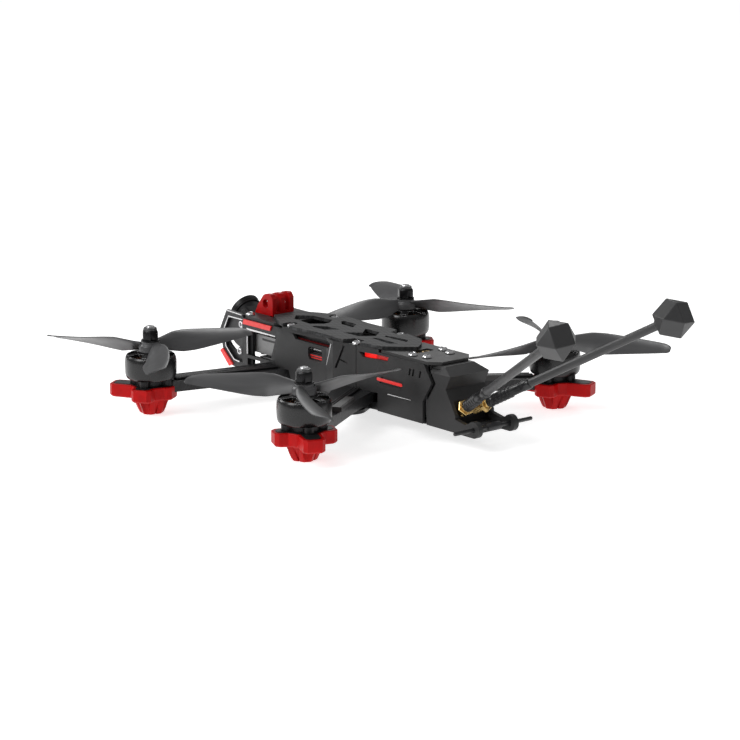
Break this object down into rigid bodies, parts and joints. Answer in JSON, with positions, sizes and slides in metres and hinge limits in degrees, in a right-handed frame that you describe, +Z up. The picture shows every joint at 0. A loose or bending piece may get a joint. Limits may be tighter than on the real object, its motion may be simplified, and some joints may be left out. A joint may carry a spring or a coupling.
{
  "type": "FPV racing drone",
  "caption": "Racing drone with swept carbon arms, outrunner motors with three-blade propellers, tilting nose camera, action camera mount and splayed rear antennas.",
  "frame": {"origin": "on the underside of the bottom plate, on the centre plane, midway between the front and rear motor axes", "axes": "+X to the drone's left side, -Y to the nose, +Z up"},
  "size_m": [0.2631, 0.3379, 0.0879],
  "materials": {
    "carbon": "cut carbon-fibre laminate, fine weave, satin",
    "carbon_top": "carbon-fibre laminate with an open twill weave, satin",
    "red_rubber": "printed flexible plastic, fine layer lines, matt",
    "motor_base": "black anodised",
    "copper": "enamelled copper windings",
    "wire": "silicone wire sleeve",
    "bell": "gloss black anodised",
    "propeller": "smoked translucent polycarbonate",
    "lock_nut": "black anodised with nylon collar",
    "cheek": "dark moulded plastic",
    "bright_screw": "bright steel",
    "camera_case": "black moulded plastic",
    "lens": "black ring with domed glass",
    "shell": "satin moulded plastic, fine grain",
    "connector": "gold-plated brass",
    "antenna": "grey moulded sleeve",
    "antenna_head": "grey moulded shell, lighter edges",
    "whisker": "black sleeve",
    "esc_board": "solder-masked circuit board",
    "fc_board": "solder-masked circuit board",
    "vtx_case": "bead-blasted aluminium",
    "receiver_board": "solder-masked circuit board",
    "capacitor_can": "shrink-sleeved can",
    "terminal": "gold-plated brass",
    "light": "lit translucent red strip",
    "light_block": "white diffuser with a lit red edge",
    "standoff": "grey anodised",
    "dark_screw": "black oxide steel"
  },
  "bodies": {
    "frame": {"bottom_plate": "carbon", "arm_brace": "carbon", "clamp_plate": "carbon", "arm_front_left": "carbon", "arm_front_right": "carbon", "arm_rear_left": "carbon", "arm_rear_right": "carbon", "foot_front_left": "red_rubber", "foot_front_right": "red_rubber", "foot_rear_left": "red_rubber", "foot_rear_right": "red_rubber", "motor_bases": "motor_base", "stators": "copper", "motor_wires": "wire", "camera_cage_left": "carbon", "camera_cage_right": "carbon", "camera_cheeks": "cheek", "camera_pivot_screws": "bright_screw", "side_panel_left": "shell", "side_panel_right": "shell", "rear_panel_left": "shell", "rear_panel_right": "shell", "front_deck": "shell", "top_plate": "carbon_top", "rear_deck": "shell", "tail_block": "shell", "action_camera_mount": "red_rubber", "antenna_nuts": "connector", "antenna_left": "antenna", "antenna_right": "antenna", "antenna_heads": "antenna_head", "receiver_antenna": "whisker", "speed_controller": "esc_board", "flight_controller": "fc_board", "stack_mounts": "bright_screw", "video_transmitter": "vtx_case", "receiver": "receiver_board", "capacitor": "capacitor_can", "power_gland": "terminal", "body_lights": "light", "arm_lights": "light_block", "standoffs": "standoff", "deck_screws": "bright_screw", "frame_screws": "dark_screw"},
    "camera": {"camera_housing": "camera_case", "camera_cradle": "cheek", "camera_lens": "lens", "camera_slot_screws": "bright_screw"},
    "rotor_front_left": {"bell_front_left": "bell", "propeller_front_left": "propeller", "prop_nut_front_left": "lock_nut"},
    "rotor_front_right": {"bell_front_right": "bell", "propeller_front_right": "propeller", "prop_nut_front_right": "lock_nut"},
    "rotor_rear_left": {"bell_rear_left": "bell", "propeller_rear_left": "propeller", "prop_nut_rear_left": "lock_nut"},
    "rotor_rear_right": {"bell_rear_right": "bell", "propeller_rear_right": "propeller", "prop_nut_rear_right": "lock_nut"}
  },
  "joints": [
    {"name": "camera_tilt", "type": "hinge", "parent": "frame", "child": "camera", "pos_m": [0, -0.0838, 0.0282], "axis": [-1, 0, 0], "range_deg": [0, 25]},
    {"name": "spin_front_left", "type": "hinge", "parent": "frame", "child": "rotor_front_left", "pos_m": [0.0915, -0.066, 0.0186], "axis": [0, 0, 1], "continuous": true},
    {"name": "spin_front_right", "type": "hinge", "parent": "frame", "child": "rotor_front_right", "pos_m": [-0.0915, -0.066, 0.0186], "axis": [0, 0, -1], "continuous": true},
    {"name": "spin_rear_left", "type": "hinge", "parent": "frame", "child": "rotor_rear_left", "pos_m": [0.088, 0.066, 0.0186], "axis": [0, 0, -1], "continuous": true},
    {"name": "spin_rear_right", "type": "hinge", "parent": "frame", "child": "rotor_rear_right", "pos_m": [-0.088, 0.066, 0.0186], "axis": [0, 0, 1], "continuous": true}
  ]
}
